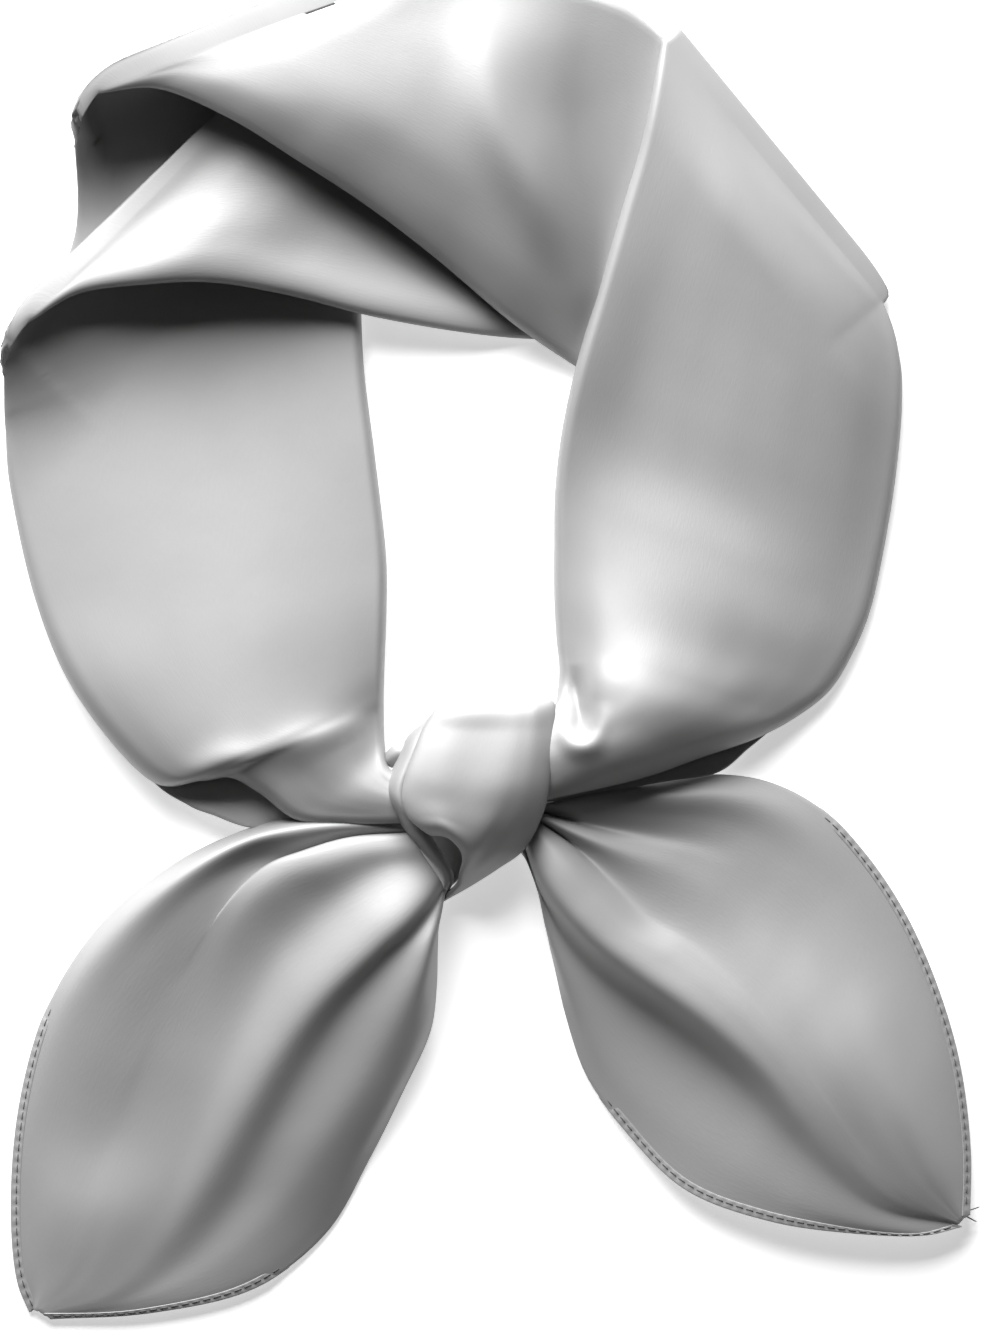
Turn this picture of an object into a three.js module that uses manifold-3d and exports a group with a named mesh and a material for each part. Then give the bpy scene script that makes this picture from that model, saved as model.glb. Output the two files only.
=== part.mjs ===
// A square satin scarf folded on the bias into a band and knotted as a neck loop, lying flat.
// Millimetres, +Z up. X runs to the right and Y to the top of the loop. The knot is at the front.
// The origin is under the middle of the whole scarf, on the surface it lies on.
import * as THREE from 'three';
import { ConvexGeometry } from 'three/addons/geometries/ConvexGeometry.js';
import { mergeVertices } from 'three/addons/utils/BufferGeometryUtils.js';
import Module from 'manifold-3d';

const wasm = await Module();
wasm.setup();

// Driving sizes
const SCARF_SIDE = 530;
const BIAS_FOLDS = 8;
const BAND_WIDTH = SCARF_SIDE * Math.SQRT2 / BIAS_FOLDS;
const LEAF_THICKNESS = 1.6;
const TAIL_THICKNESS = 1.4;
const PIECE_GAP = 0.35;

// All plan positions are on a square grid: x to the right, y down the sheet, and the folded band is
// 360 squares wide. Heights are in millimetres above the surface.
const BAND_SQUARES = 360;
const SQUARE = BAND_WIDTH / BAND_SQUARES;
const GRID_MIDDLE = { x: 487.5, y: 649.4 };

// The band is folded lengthwise into a front leaf and a back leaf, joined along one long soft rim.
// Each row is one straight line across both leaves. The rim and the two free edges are outlines seen
// from above. rimZ is midway between the leaves, rimGap the distance between them there, and a bow is
// how far the middle of a leaf stands above its straight line.
// Columns: rimX rimY rimZ rimGap, frontX frontY frontZ frontBow, backX backY backZ backBow
const LEFT_SIDE = [
  [402, 778, 9.0, 5.0, 404, 821, 11, 1, 404, 823, 7.0, 0],
  [388, 765, 8.0, 5.0, 345, 818, 10, 2, 345, 826, 3.0, 0],
  [385, 745, 5.5, 6.0, 290, 812, 9, 3, 290, 826, 1.0, 0],
  [384, 722, 4.0, 6.0, 240, 779, 9, 3, 235, 820, 0.8, 0],
  [384, 695, 3.8, 6.0, 192, 800, 5, 4, 185, 800, 0.8, 0],
  [385, 660, 3.8, 6.0, 120, 748, 4, 5, 125, 748, 0.8, 0],
  [387, 605, 3.8, 6.0, 62, 665, 4, 5, 68, 662, 0.8, 0],
  [386, 550, 3.8, 6.0, 30, 575, 4, 5, 36, 572, 0.8, 0],
  [375, 455, 3.8, 6.0, 11, 465, 5, 4, 17, 462, 0.8, 0],
  [364, 365, 3.8, 6.0, 8, 400, 5.5, 2, 22, 398, 0.8, 0],
  [360, 270, 3.8, 6.0, 7, 378, 5, 1, 38, 330, 0.8, 0],
  [353, 150, 3.6, 5.6, 9, 363, 4.5, 0, 70, 240, 0.8, 0],
  [340, 8, 3.4, 5.2, 17, 352, 4.5, 0, 80, 150, 0.8, 0],
];
const TOP = [
  [344, 5, 12.5, 5.0, 45, 322, 17, 0, 125, 88, 17, 0],
  [372, -14, 10.8, 5.0, 90, 293, 17.5, 0, 175, 97, 18, 0],
  [408, -19, 9.2, 5.5, 150, 286, 16.5, 0, 235, 124, 17, 0],
  [445, -20, 7.5, 6.0, 215, 284, 15, 0, 300, 164, 16, 0],
  [480, -19, 6.5, 6.0, 290, 296, 12.5, 0, 370, 209, 14, 0],
  [520, -16, 5.0, 6.0, 380, 318, 9, 0, 440, 262, 11, 0],
  [560, -11, 4.2, 6.0, 480, 334, 3, 0, 510, 321, 6.5, 0],
  [592, -5, 3.8, 5.6, 560, 338, 0.8, 0, 573, 364, 3.2, 0],
  [620, 5, 3.2, 4.8, 660, 332, 0.8, 0, 650, 410, 3.0, 0],
  [641, 20, 2.8, 4.0, 770, 315, 0.8, 0, 740, 440, 3.2, 0],
  [661, 38, 2.8, 4.0, 878, 300, 0.8, 0, 825, 455, 3.2, 0],
];
const RIGHT_SIDE = [
  [661, 38, 9.2, 4.0, 882, 303, 9.6, 0, 825, 455, 6.2, 0],
  [657, 66, 9.0, 3.9, 888, 318, 9.4, 0, 822, 466, 6.2, 0],
  [651, 100, 8.6, 3.8, 893, 334, 9.0, 0.5, 820, 480, 6.0, 0],
  [640, 150, 8.1, 3.6, 897, 354, 8.6, 1, 817, 498, 5.8, 0],
  [622, 210, 8.0, 3.8, 900, 380, 8.2, 2, 815, 520, 5.4, 0],
  [600, 285, 8.0, 4.2, 899, 425, 7.6, 3, 813, 548, 4.8, 0],
  [577, 362, 8.0, 4.6, 892, 490, 6.6, 4, 812, 578, 3.6, 0],
  [562, 430, 5.6, 5.2, 880, 560, 5.4, 5, 812, 612, 2.0, 0],
  [555, 490, 3.8, 6.0, 868, 612, 4.6, 5, 812, 645, 0.8, 0],
  [554, 545, 3.8, 6.0, 850, 655, 4.2, 5, 806, 675, 0.8, 0],
  [554, 595, 3.8, 6.0, 828, 690, 4, 5, 794, 700, 0.8, 0],
  [556, 635, 3.8, 6.0, 795, 716, 5, 5, 775, 724, 0.8, 0],
  [559, 665, 4.5, 6.0, 755, 737, 6, 5, 747, 748, 1.2, 0],
  [558, 688, 6.5, 6.0, 700, 755, 8, 4, 715, 772, 3.4, 0],
  [554, 705, 9.0, 6.0, 640, 772, 10, 3, 660, 781, 5.0, 0],
  [540, 706, 11.0, 5.0, 536, 796, 13, 2, 536, 798, 8.0, 0],
];
// How many smooth rows each stretch gets, and how many steps a leaf, the rim and a turn get.
const LEFT_ROWS = 16;
const TOP_ROWS = 13;
const RIGHT_ROWS = 18;
const LEAF_STEPS = 7;
const RIM_STEPS = 4;
const TURN_STEPS = 6;
// How far a turn may bulge at the pinched rim, and how much farther at the free edge.
const RIM_BULGE = 6.5;
const BULGE_GROWTH = 20;

// The tails are straight lines across from one side to the other, from the knot to the tip.
// Columns: upperX upperY upperZ, lowerX lowerY lowerZ, crown
const LEFT_TAIL = [
  [408, 832, 7, 446, 888, 4, 3],
  [350, 821, 6, 439, 915, 3, 5],
  [290, 820, 4.5, 436, 950, 0.7, 5],
  [230, 835, 3, 436, 990, 0.7, 4],
  [175, 864, 2, 430, 1030, 0.7, 4],
  [125, 903, 1, 412, 1070, 0.7, 4],
  [80, 948, 0.7, 393, 1110, 0.7, 3],
  [52, 998, 0.7, 372, 1150, 0.7, 3],
  [33, 1050, 0.7, 352, 1190, 0.7, 3],
  [21, 1105, 0.7, 330, 1228, 0.7, 2],
  [15, 1160, 0.7, 300, 1258, 0.7, 2],
  [13, 1210, 0.7, 262, 1283, 0.7, 2],
  [15, 1250, 0.7, 215, 1298, 0.7, 1],
  [20, 1282, 0.7, 160, 1309, 0.7, 1],
  [26, 1302, 0.7, 100, 1319, 0.7, 0],
  [34, 1311, 0.7, 60, 1317, 0.7, 0],
];
const RIGHT_TAIL = [
  [530, 812, 6, 512, 846, 3, 3],
  [600, 790, 3, 538, 880, 2, 4],
  [655, 783, 1, 547, 925, 0.7, 4],
  [705, 777, 0.7, 556, 965, 0.7, 4],
  [750, 778, 0.7, 565, 1005, 0.7, 4],
  [795, 793, 0.7, 575, 1048, 0.7, 4],
  [835, 820, 0.7, 592, 1085, 0.7, 3],
  [868, 856, 0.7, 618, 1122, 0.7, 3],
  [895, 897, 0.7, 652, 1158, 0.7, 3],
  [917, 940, 0.7, 692, 1190, 0.7, 2],
  [935, 985, 0.7, 738, 1209, 0.7, 2],
  [950, 1035, 0.7, 785, 1221, 0.7, 2],
  [959, 1085, 0.7, 832, 1227, 0.7, 1],
  [965, 1135, 0.7, 876, 1231, 0.7, 1],
  [968, 1180, 0.7, 915, 1232, 0.7, 0],
  [967, 1210, 0.7, 950, 1226, 0.7, 0],
];
const TAIL_STEPS = 16;

// Pleats run out of the knot along a tail. Across a tail, 0 is the upper side and 1 the lower side.
// Columns: acrossAtKnot acrossAtTip, height, halfWidth, from and to as shares of the tail's length
const LEFT_TAIL_PLEATS = [
  [0.10, 0.04, 4, 0.10, 0.0, 0.45],
  [0.70, 0.46, 7, 0.14, 0.0, 0.75],
  [0.98, 0.78, 4, 0.10, 0.05, 0.60],
];
const RIGHT_TAIL_PLEATS = [
  [0.64, 0.44, 8, 0.11, 0.0, 0.75],
  [0.28, 0.20, 4, 0.09, 0.0, 0.50],
  [0.95, 0.80, 3, 0.09, 0.1, 0.60],
];
// A pleat reaches its height over this share of the tail's length. A tail's edges stay down, and its
// crown is fuller than a sine curve by this power.
const PLEAT_RISE = 0.2;
const CROWN_POWER = 0.8;

// The knot is two turns of cloth: the broad face that wraps over, and the turn it wraps round, which
// shows as a strip down the left side. Each is rings of one outline seen from above. Columns: x y
const KNOT_FACE = {
  middle: [480, 778],
  outline: [
    [552, 701], [500, 703], [442, 706], [424, 730], [411, 765], [406, 798], [414, 825], [440, 836],
    [464, 856], [468, 878], [500, 865], [521, 849], [541, 810], [547, 785], [551, 750],
  ],
  top: 27,
};
const KNOT_STRIP = {
  middle: [424, 808],
  outline: [
    [440, 712], [412, 735], [398, 765], [388, 790], [400, 822], [420, 852], [442, 897], [470, 880],
    [478, 850], [470, 800], [462, 750],
  ],
  top: 20,
};
// Columns: share of the height, share of the outline
const KNOT_RINGS = [
  [0, 0.70], [0.11, 0.88], [0.26, 0.97], [0.44, 1.0],
  [0.62, 0.97], [0.78, 0.86], [0.90, 0.67], [0.97, 0.38],
];
const KNOT_SIDES = 26;

// Pale grey satin
const SATIN = { color: 0xc3c3c3, roughness: 0.42, metalness: 0 };
// Points closer than this are one point.
const WELD = 1e-4;

function onPlan(x, y, z) {
  return new THREE.Vector3((x - GRID_MIDDLE.x) * SQUARE, (GRID_MIDDLE.y - y) * SQUARE, z);
}

// Smooth rows between the rows of a table.
function splineRows(rows, count) {
  const result = [];
  for (let i = 0; i < count; i += 1) {
    const t = i / (count - 1) * (rows.length - 1);
    const k = Math.min(Math.floor(t), rows.length - 2);
    const f = t - k;
    const before = rows[Math.max(k - 1, 0)];
    const after = rows[Math.min(k + 2, rows.length - 1)];
    result.push(rows[k].map((a, c) => {
      const b = rows[k + 1][c];
      const slopeA = (b - before[c]) / 2;
      const slopeB = (after[c] - a) / 2;
      const f2 = f * f;
      const f3 = f2 * f;
      return (2 * f3 - 3 * f2 + 1) * a + (f3 - 2 * f2 + f) * slopeA
        + (3 * f2 - 2 * f3) * b + (f3 - f2) * slopeB;
    }));
  }
  return result;
}

// One leaf as points from the rim to its free edge.
function leafLine(rimPoint, freePoint, bow) {
  const line = [];
  for (let j = 0; j <= LEAF_STEPS; j += 1) {
    const v = j / LEAF_STEPS;
    const point = rimPoint.clone().lerp(freePoint, v);
    point.z += bow * Math.sin(Math.PI * v) ** 2;
    line.push(point);
  }
  return line;
}

// Both leaves of one row. frontSide is 1 where the front leaf is on top and -1 where it is below.
function bandRow(row, frontSide) {
  const [rimX, rimY, rimZ, rimGap, frontX, frontY, frontZ, frontBow, backX, backY, backZ, backBow] = row;
  const rim = onPlan(rimX, rimY, rimZ);
  const front = onPlan(frontX, frontY, frontZ);
  const back = onPlan(backX, backY, backZ);
  const across = front.clone().add(back).multiplyScalar(0.5).sub(rim).setZ(0).normalize();
  rim.addScaledVector(across, (rimGap + LEAF_THICKNESS) / 2);
  const halfGap = new THREE.Vector3(0, 0, frontSide * rimGap / 2);
  return {
    front: leafLine(rim.clone().add(halfGap), front, frontBow),
    back: leafLine(rim.clone().sub(halfGap), back, backBow),
  };
}

// A leaf turned over: half a turn from its lower line to its upper line, bulging outward. The rim is
// pinched, so it bulges less than the rest of the leaf.
function turnedLeaf(lower, upper, outward, angle) {
  const share = (1 - Math.cos(angle)) / 2;
  return lower.map((point, j) => {
    const freeToBulge = RIM_BULGE + BULGE_GROWTH * j / LEAF_STEPS;
    const radius = Math.min((upper[j].z - point.z) / 2, freeToBulge);
    return point.clone().lerp(upper[j], share).addScaledVector(outward, radius * Math.sin(angle));
  });
}

function outwardOf(lower, upper, travel) {
  const ruling = lower[LEAF_STEPS].clone().add(upper[LEAF_STEPS]).sub(lower[0]).sub(upper[0]);
  const outward = new THREE.Vector3(ruling.y, -ruling.x, 0).normalize();
  return outward.dot(travel) < 0 ? outward.negate() : outward;
}

function turnRows(lower, upper, travel) {
  const rows = [];
  const outFront = outwardOf(lower.front, upper.front, travel);
  const outBack = outwardOf(lower.back, upper.back, travel);
  for (let k = 1; k < TURN_STEPS; k += 1) {
    const angle = Math.PI * k / TURN_STEPS;
    rows.push({
      front: turnedLeaf(lower.front, upper.front, outFront, angle),
      back: turnedLeaf(lower.back, upper.back, outBack, angle),
    });
  }
  return rows;
}

// The closed line of one row: back leaf from its free edge to the rim, round the rim, front leaf.
function hairpin({ front, back }) {
  const middle = front[0].clone().add(back[0]).multiplyScalar(0.5);
  const half = front[0].clone().sub(back[0]).multiplyScalar(0.5);
  const bulge = front[0].clone().sub(front[1]).normalize();
  bulge.add(back[0].clone().sub(back[1]).normalize());
  bulge.addScaledVector(half, -bulge.dot(half) / half.lengthSq()).setLength(half.length());
  const line = [...back].reverse();
  for (let k = 1; k < RIM_STEPS; k += 1) {
    const angle = Math.PI * k / RIM_STEPS;
    const point = middle.clone().addScaledVector(half, -Math.cos(angle));
    line.push(point.addScaledVector(bulge, Math.sin(angle)));
  }
  return [...line, ...front];
}

// Normals of a grid of points, each the mean of the faces that meet there.
function gridNormals(grid) {
  const normals = grid.map((line) => line.map(() => new THREE.Vector3()));
  for (let i = 0; i < grid.length - 1; i += 1) {
    for (let j = 0; j < grid[0].length - 1; j += 1) {
      const rising = grid[i + 1][j + 1].clone().sub(grid[i][j]);
      const falling = grid[i][j + 1].clone().sub(grid[i + 1][j]);
      const face = rising.cross(falling).normalize();
      normals[i][j].add(face);
      normals[i + 1][j].add(face);
      normals[i][j + 1].add(face);
      normals[i + 1][j + 1].add(face);
    }
  }
  normals.forEach((line) => line.forEach((normal) => normal.normalize()));
  return normals;
}

// A grid of points made into a closed cloth of one thickness, pressed flat where it meets the surface.
function thickened(grid, thickness) {
  const normals = gridNormals(grid);
  const rows = grid.length;
  const columns = grid[0].length;
  const positions = [];
  [0.5, -0.5].forEach((side) => {
    grid.forEach((line, i) => line.forEach((point, j) => {
      const moved = point.clone().addScaledVector(normals[i][j], side * thickness);
      positions.push(moved.x, moved.y, Math.max(moved.z, 0));
    }));
  });
  const outer = (i, j) => i * columns + j;
  const inner = (i, j) => rows * columns + i * columns + j;
  const index = [];
  const quad = (a, b, c, d) => index.push(a, b, c, a, c, d);
  for (let i = 0; i < rows - 1; i += 1) {
    for (let j = 0; j < columns - 1; j += 1) {
      quad(outer(i, j), outer(i + 1, j), outer(i + 1, j + 1), outer(i, j + 1));
      quad(inner(i, j), inner(i, j + 1), inner(i + 1, j + 1), inner(i + 1, j));
    }
    quad(outer(i, 0), inner(i, 0), inner(i + 1, 0), outer(i + 1, 0));
    quad(outer(i, columns - 1), outer(i + 1, columns - 1), inner(i + 1, columns - 1), inner(i, columns - 1));
  }
  for (let j = 0; j < columns - 1; j += 1) {
    quad(outer(0, j), outer(0, j + 1), inner(0, j + 1), inner(0, j));
    quad(outer(rows - 1, j), inner(rows - 1, j), inner(rows - 1, j + 1), outer(rows - 1, j + 1));
  }
  const geometry = new THREE.BufferGeometry();
  geometry.setAttribute('position', new THREE.Float32BufferAttribute(positions, 3));
  geometry.setIndex(index);
  return geometry;
}

function toSolid(geometry) {
  const bare = geometry.clone();
  bare.deleteAttribute('normal');
  bare.deleteAttribute('uv');
  const merged = mergeVertices(bare, WELD);
  return new wasm.Manifold(new wasm.Mesh({
    numProp: 3,
    vertProperties: new Float32Array(merged.attributes.position.array),
    triVerts: new Uint32Array(merged.index.array),
  }));
}

function fromSolid(solid) {
  const mesh = solid.getMesh();
  const geometry = new THREE.BufferGeometry();
  geometry.setAttribute('position', new THREE.Float32BufferAttribute(mesh.vertProperties, 3));
  geometry.setIndex(Array.from(mesh.triVerts));
  return geometry;
}

// Height of the pleats at a share of the way along a tail and a share of the way across it.
function pleatHeight(pleats, along, across) {
  return pleats.reduce((sum, [atKnot, atTip, height, halfWidth, from, to]) => {
    const away = (across - atKnot - (atTip - atKnot) * along) / halfWidth;
    const rise = THREE.MathUtils.smoothstep(along, from, from + PLEAT_RISE);
    const fade = 1 - THREE.MathUtils.smoothstep(along, (from + to) / 2, to);
    return sum + height * rise * fade * Math.exp(-away * away);
  }, 0);
}

function tailGrid(rows, pleats) {
  return rows.map(([upperX, upperY, upperZ, lowerX, lowerY, lowerZ, crown], i) => {
    const along = i / (rows.length - 1);
    const line = [];
    for (let j = 0; j <= TAIL_STEPS; j += 1) {
      const across = j / TAIL_STEPS;
      const x = upperX + (lowerX - upperX) * across;
      const y = upperY + (lowerY - upperY) * across;
      const inside = Math.sin(Math.PI * across) ** CROWN_POWER;
      const raised = inside * (crown + pleatHeight(pleats, along, across));
      line.unshift(onPlan(x, y, upperZ + (lowerZ - upperZ) * across + raised));
    }
    return line;
  });
}

function knotTurn({ middle, outline, top }) {
  const curve = new THREE.CatmullRomCurve3(
    outline.map(([x, y]) => new THREE.Vector3(x, y, 0)), true, 'catmullrom', 0.5,
  );
  const around = curve.getSpacedPoints(KNOT_SIDES).slice(0, KNOT_SIDES);
  const positions = [];
  KNOT_RINGS.forEach(([heightShare, share]) => around.forEach(({ x, y }) => {
    const ringX = middle[0] + (x - middle[0]) * share;
    const ringY = middle[1] + (y - middle[1]) * share;
    positions.push(...onPlan(ringX, ringY, heightShare * top).toArray());
  }));
  const bottom = positions.length / 3;
  positions.push(...onPlan(middle[0], middle[1], 0).toArray());
  positions.push(...onPlan(middle[0], middle[1], top).toArray());
  const index = [];
  const last = (KNOT_RINGS.length - 1) * KNOT_SIDES;
  for (let s = 0; s < KNOT_SIDES; s += 1) {
    const next = (s + 1) % KNOT_SIDES;
    for (let r = 0; r < KNOT_RINGS.length - 1; r += 1) {
      const here = r * KNOT_SIDES;
      index.push(here + s, here + next, here + KNOT_SIDES + next);
      index.push(here + s, here + KNOT_SIDES + next, here + KNOT_SIDES + s);
    }
    index.push(bottom, next, s);
    index.push(bottom + 1, last + s, last + next);
  }
  const geometry = new THREE.BufferGeometry();
  geometry.setAttribute('position', new THREE.Float32BufferAttribute(positions, 3));
  geometry.setIndex(index);
  return geometry;
}

// The space that the end of a cloth needs inside the knot, with the gap all round.
function endSpace(rows, thickness) {
  const normals = gridNormals(rows);
  const reach = thickness / 2 + PIECE_GAP;
  const points = [];
  rows.forEach((line, i) => line.forEach((point, j) => {
    points.push(point.clone().addScaledVector(normals[i][j], reach));
    points.push(point.clone().addScaledVector(normals[i][j], -reach));
  }));
  const middle = new THREE.Vector3();
  points.forEach((point) => middle.add(point));
  middle.divideScalar(points.length);
  points.forEach((point) => point.add(point.clone().sub(middle).setLength(PIECE_GAP)));
  return toSolid(new ConvexGeometry(points));
}

const left = splineRows(LEFT_SIDE, LEFT_ROWS).map((row) => bandRow(row, 1));
const top = splineRows(TOP, TOP_ROWS).map((row) => bandRow(row, -1));
const right = splineRows(RIGHT_SIDE, RIGHT_ROWS).map((row) => bandRow(row, 1));
const upAndLeft = new THREE.Vector3(-1, 1, 0);
const upAndRight = new THREE.Vector3(1, 1, 0);
const bandGrid = [
  ...left,
  ...turnRows(left[left.length - 1], top[0], upAndLeft),
  ...top.slice(1),
  ...turnRows(top[top.length - 1], right[0], upAndRight),
  ...right.slice(1),
].map(hairpin);
const leftTailGrid = tailGrid(LEFT_TAIL, LEFT_TAIL_PLEATS);
const rightTailGrid = tailGrid(RIGHT_TAIL, RIGHT_TAIL_PLEATS);

let knotSolid = toSolid(knotTurn(KNOT_FACE)).add(toSolid(knotTurn(KNOT_STRIP)));
knotSolid = knotSolid.subtract(endSpace(bandGrid.slice(0, 2), LEAF_THICKNESS));
knotSolid = knotSolid.subtract(endSpace(bandGrid.slice(-2), LEAF_THICKNESS));
knotSolid = knotSolid.subtract(endSpace(leftTailGrid.slice(0, 2), TAIL_THICKNESS));
knotSolid = knotSolid.subtract(endSpace(rightTailGrid.slice(0, 2), TAIL_THICKNESS));

function piece(name, geometry) {
  const mesh = new THREE.Mesh(geometry, new THREE.MeshStandardMaterial(SATIN));
  mesh.name = name;
  return mesh;
}

const scarf = new THREE.Group();
scarf.add(piece('neck_band', thickened(bandGrid, LEAF_THICKNESS)));
scarf.add(piece('tail_left', thickened(leftTailGrid, TAIL_THICKNESS)));
scarf.add(piece('tail_right', thickened(rightTailGrid, TAIL_THICKNESS)));
scarf.add(piece('knot', fromSolid(knotSolid)));

export default scarf;
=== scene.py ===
import math

import bpy
import numpy as np
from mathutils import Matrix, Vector


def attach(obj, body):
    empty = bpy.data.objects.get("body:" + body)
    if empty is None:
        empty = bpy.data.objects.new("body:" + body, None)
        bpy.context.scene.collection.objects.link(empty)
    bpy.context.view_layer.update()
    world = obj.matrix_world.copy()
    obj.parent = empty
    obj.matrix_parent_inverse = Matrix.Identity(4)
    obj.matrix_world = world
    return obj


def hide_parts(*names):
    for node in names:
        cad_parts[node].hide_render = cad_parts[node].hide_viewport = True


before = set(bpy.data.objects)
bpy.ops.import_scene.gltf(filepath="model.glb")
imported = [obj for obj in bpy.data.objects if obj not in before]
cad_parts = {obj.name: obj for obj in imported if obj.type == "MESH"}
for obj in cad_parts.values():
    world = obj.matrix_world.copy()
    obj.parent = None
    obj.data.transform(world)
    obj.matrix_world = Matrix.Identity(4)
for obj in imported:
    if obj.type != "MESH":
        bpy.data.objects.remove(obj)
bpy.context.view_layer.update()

# Driving sizes, in millimetres: a square of satin, folded on the bias into a band
SCARF_SIDE = 530.0
BIAS_FOLDS = 8
BAND_WIDTH = SCARF_SIDE * math.sqrt(2) / BIAS_FOLDS
MM = 0.001

# The plan is a square grid, x to the right and y down, on which the band is 360 squares wide
BAND_SQUARES = 360
SQUARE = BAND_WIDTH / BAND_SQUARES
GRID_MIDDLE = (487.5, 649.4)
PICTURE_SQUARES = (1000, 1333)

# Cloth thicknesses, in millimetres
LEAF = 0.8
TAIL = 0.55
KNOT_TURN = 1.3
KNOT_CORNER_CLOTH = 0.8

# The narrow hem of the square's sides, turned over twice, in millimetres
HEM_WIDTH = 2.3
HEM = 0.35
HEM_OVERHANG = 0.3
# Where a hem begins, it rises out of the tail's own edge over this length
HEM_RISE = 8.0
# How deep it starts, how high it lies over the cloth, how far it slants down inward and how high its thread
# lies, all as shares of its thickness
HEM_SUNK = 1.3
HEM_RAISED = 0.3
HEM_SLANT = 0.45
THREAD_RAISED = 0.6
# The hem is drawn in steps of this length, with this many lines across
HEM_STEP = 0.45
HEM_LINES = 7

# The running stitch of the hem, in millimetres, and how far it draws the hem in
STITCH_PITCH = 2.8
STITCH_LENGTH = 2.0
STITCH_IN = 1.4
THREAD = 0.38
PUCKER = 0.07
THREAD_SIDES = 6
# One dash of thread. Columns: share of its length, share of its full thickness
DASH_SHAPE = [(0.0, 0.35), (0.12, 0.9), (0.5, 1.0), (0.88, 0.9), (1.0, 0.35)]

# How many steps each stretch of the band is drawn in
LEFT_STEPS = 10
TOP_STEPS = 9
RIGHT_STEPS = 8
NEAR_KNOT_STEPS = 16
TURN_STEPS = 30
FRONT_STEPS = 66
BACK_STEPS = 34
RIM_STEPS = 10
FOLD_STEPS = 10
# Steps between the given points of a line, and between one line and the next
TAIL_STEPS = (14, 8)
KNOT_FACE_STEPS = (12, 8)
KNOT_STRIP_STEPS = (10, 8)
KNOT_CORNER_STEPS = (8, 6)
HEART_STEPS = 4
# How often a cloth's kinks are eased
EASING_ROUNDS = 2
# Lengths under these count as none
SHORTEST_STEP = 1e-6
TINY = 1e-9
# How far the soft rim bulges out beyond its leaves, in millimetres
RIM_REACH = 2.2
# How much closer the columns stand at the rim and at the edge than in the middle
END_CLOSENESS = 0.45

# The band has a front leaf and a back leaf, joined along one soft rim. Each row is one line across.
# Columns: rimX rimY rimZ rimGap, frontX frontY frontZ, backX backY backZ
LEFT_SIDE = [
    [402, 778, 9.0, 5.0, 404, 821, 11, 404, 823, 7.0],
    [388, 765, 8.0, 5.0, 345, 822, 10.5, 345, 826, 3.0],
    [385, 745, 5.5, 6.0, 298, 818, 10.5, 290, 826, 3.0],
    [384, 728, 4.5, 6.4, 262, 792, 10.5, 250, 826, 5.0],
    [384, 710, 4.2, 6.8, 232, 776, 11, 215, 814, 5.5],
    [384, 692, 5.0, 6.8, 202, 779, 11, 190, 804, 5.2],
    [385, 660, 5.8, 6.8, 150, 778, 10, 150, 776, 3.8],
    [387, 605, 6.0, 6.6, 78, 693, 9.2, 82, 690, 2.4],
    [386, 550, 5.4, 6.2, 38, 600, 6.8, 42, 598, 1.4],
    [375, 455, 4.2, 5.4, 13, 490, 4.8, 18, 486, 0.9],
    [364, 365, 3.0, 4.4, 8, 430, 3.6, 22, 398, 0.8],
    [360, 270, 2.8, 4.0, 7, 410, 3.8, 38, 330, 0.8],
    [353, 150, 2.8, 4.0, 7, 394, 4, 76, 236, 0.8],
    [340, 8, 3.0, 4.4, 7, 376, 4.5, 78, 152, 0.8],
]
TOP = [
    [344, 5, 15.5, 5.0, 36, 322, 18.4, 105, 99, 24.2],
    [368, -1, 15.3, 5.0, 82, 295, 18.6, 163, 94, 24.6],
    [408, -19, 14.5, 5.5, 150, 286, 19, 235, 124, 25],
    [445, -20, 13.0, 6.0, 215, 284, 18, 300, 164, 24],
    [480, -19, 11.0, 6.2, 290, 296, 15, 370, 209, 21.5],
    [520, -16, 9.0, 6.2, 380, 318, 11, 440, 262, 17.5],
    [560, -11, 7.0, 6.2, 480, 334, 6, 510, 321, 12],
    [592, -5, 5.2, 6.2, 560, 338, 0.8, 573, 364, 6],
    [620, 5, 4.2, 5.8, 660, 332, 0.8, 650, 410, 2.8],
    [641, 20, 3.6, 5.0, 770, 315, 0.8, 740, 440, 2.8],
    [661, 38, 2.8, 4.0, 878, 300, 0.8, 825, 455, 2.8],
]
RIGHT_SIDE = [
    [661, 38, 9.6, 5.6, 882, 303, 5.0, 825, 455, 3.4],
    [657, 66, 9.4, 5.6, 888, 318, 4.8, 822, 466, 3.2],
    [651, 100, 9.0, 5.4, 893, 334, 4.6, 820, 480, 3.0],
    [640, 150, 8.6, 5.2, 897, 354, 4.4, 817, 498, 2.8],
    [622, 210, 8.2, 5.0, 900, 380, 4.2, 815, 520, 2.4],
    [600, 285, 8.0, 5.0, 899, 425, 4.0, 813, 548, 2.0],
    [577, 362, 7.6, 5.2, 892, 490, 3.8, 812, 578, 1.6],
    [562, 430, 5.6, 5.6, 880, 560, 3.6, 812, 612, 1.2],
    [555, 490, 4.0, 6.4, 868, 612, 3.6, 812, 645, 0.8],
    [554, 545, 4.0, 6.4, 850, 655, 3.8, 806, 675, 0.8],
    [554, 595, 4.2, 6.8, 828, 690, 4.2, 794, 700, 0.8],
    [556, 635, 4.4, 7.0, 795, 716, 5.5, 775, 724, 0.8],
    [559, 665, 5.0, 7.0, 755, 737, 8, 747, 748, 1.2],
    [558, 688, 6.6, 6.6, 700, 756, 11, 715, 772, 3.4],
    [554, 705, 9.0, 6.0, 635, 778, 14, 660, 781, 5.0],
    [540, 706, 11.0, 5.0, 536, 800, 14, 536, 802, 8.0],
]

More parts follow.
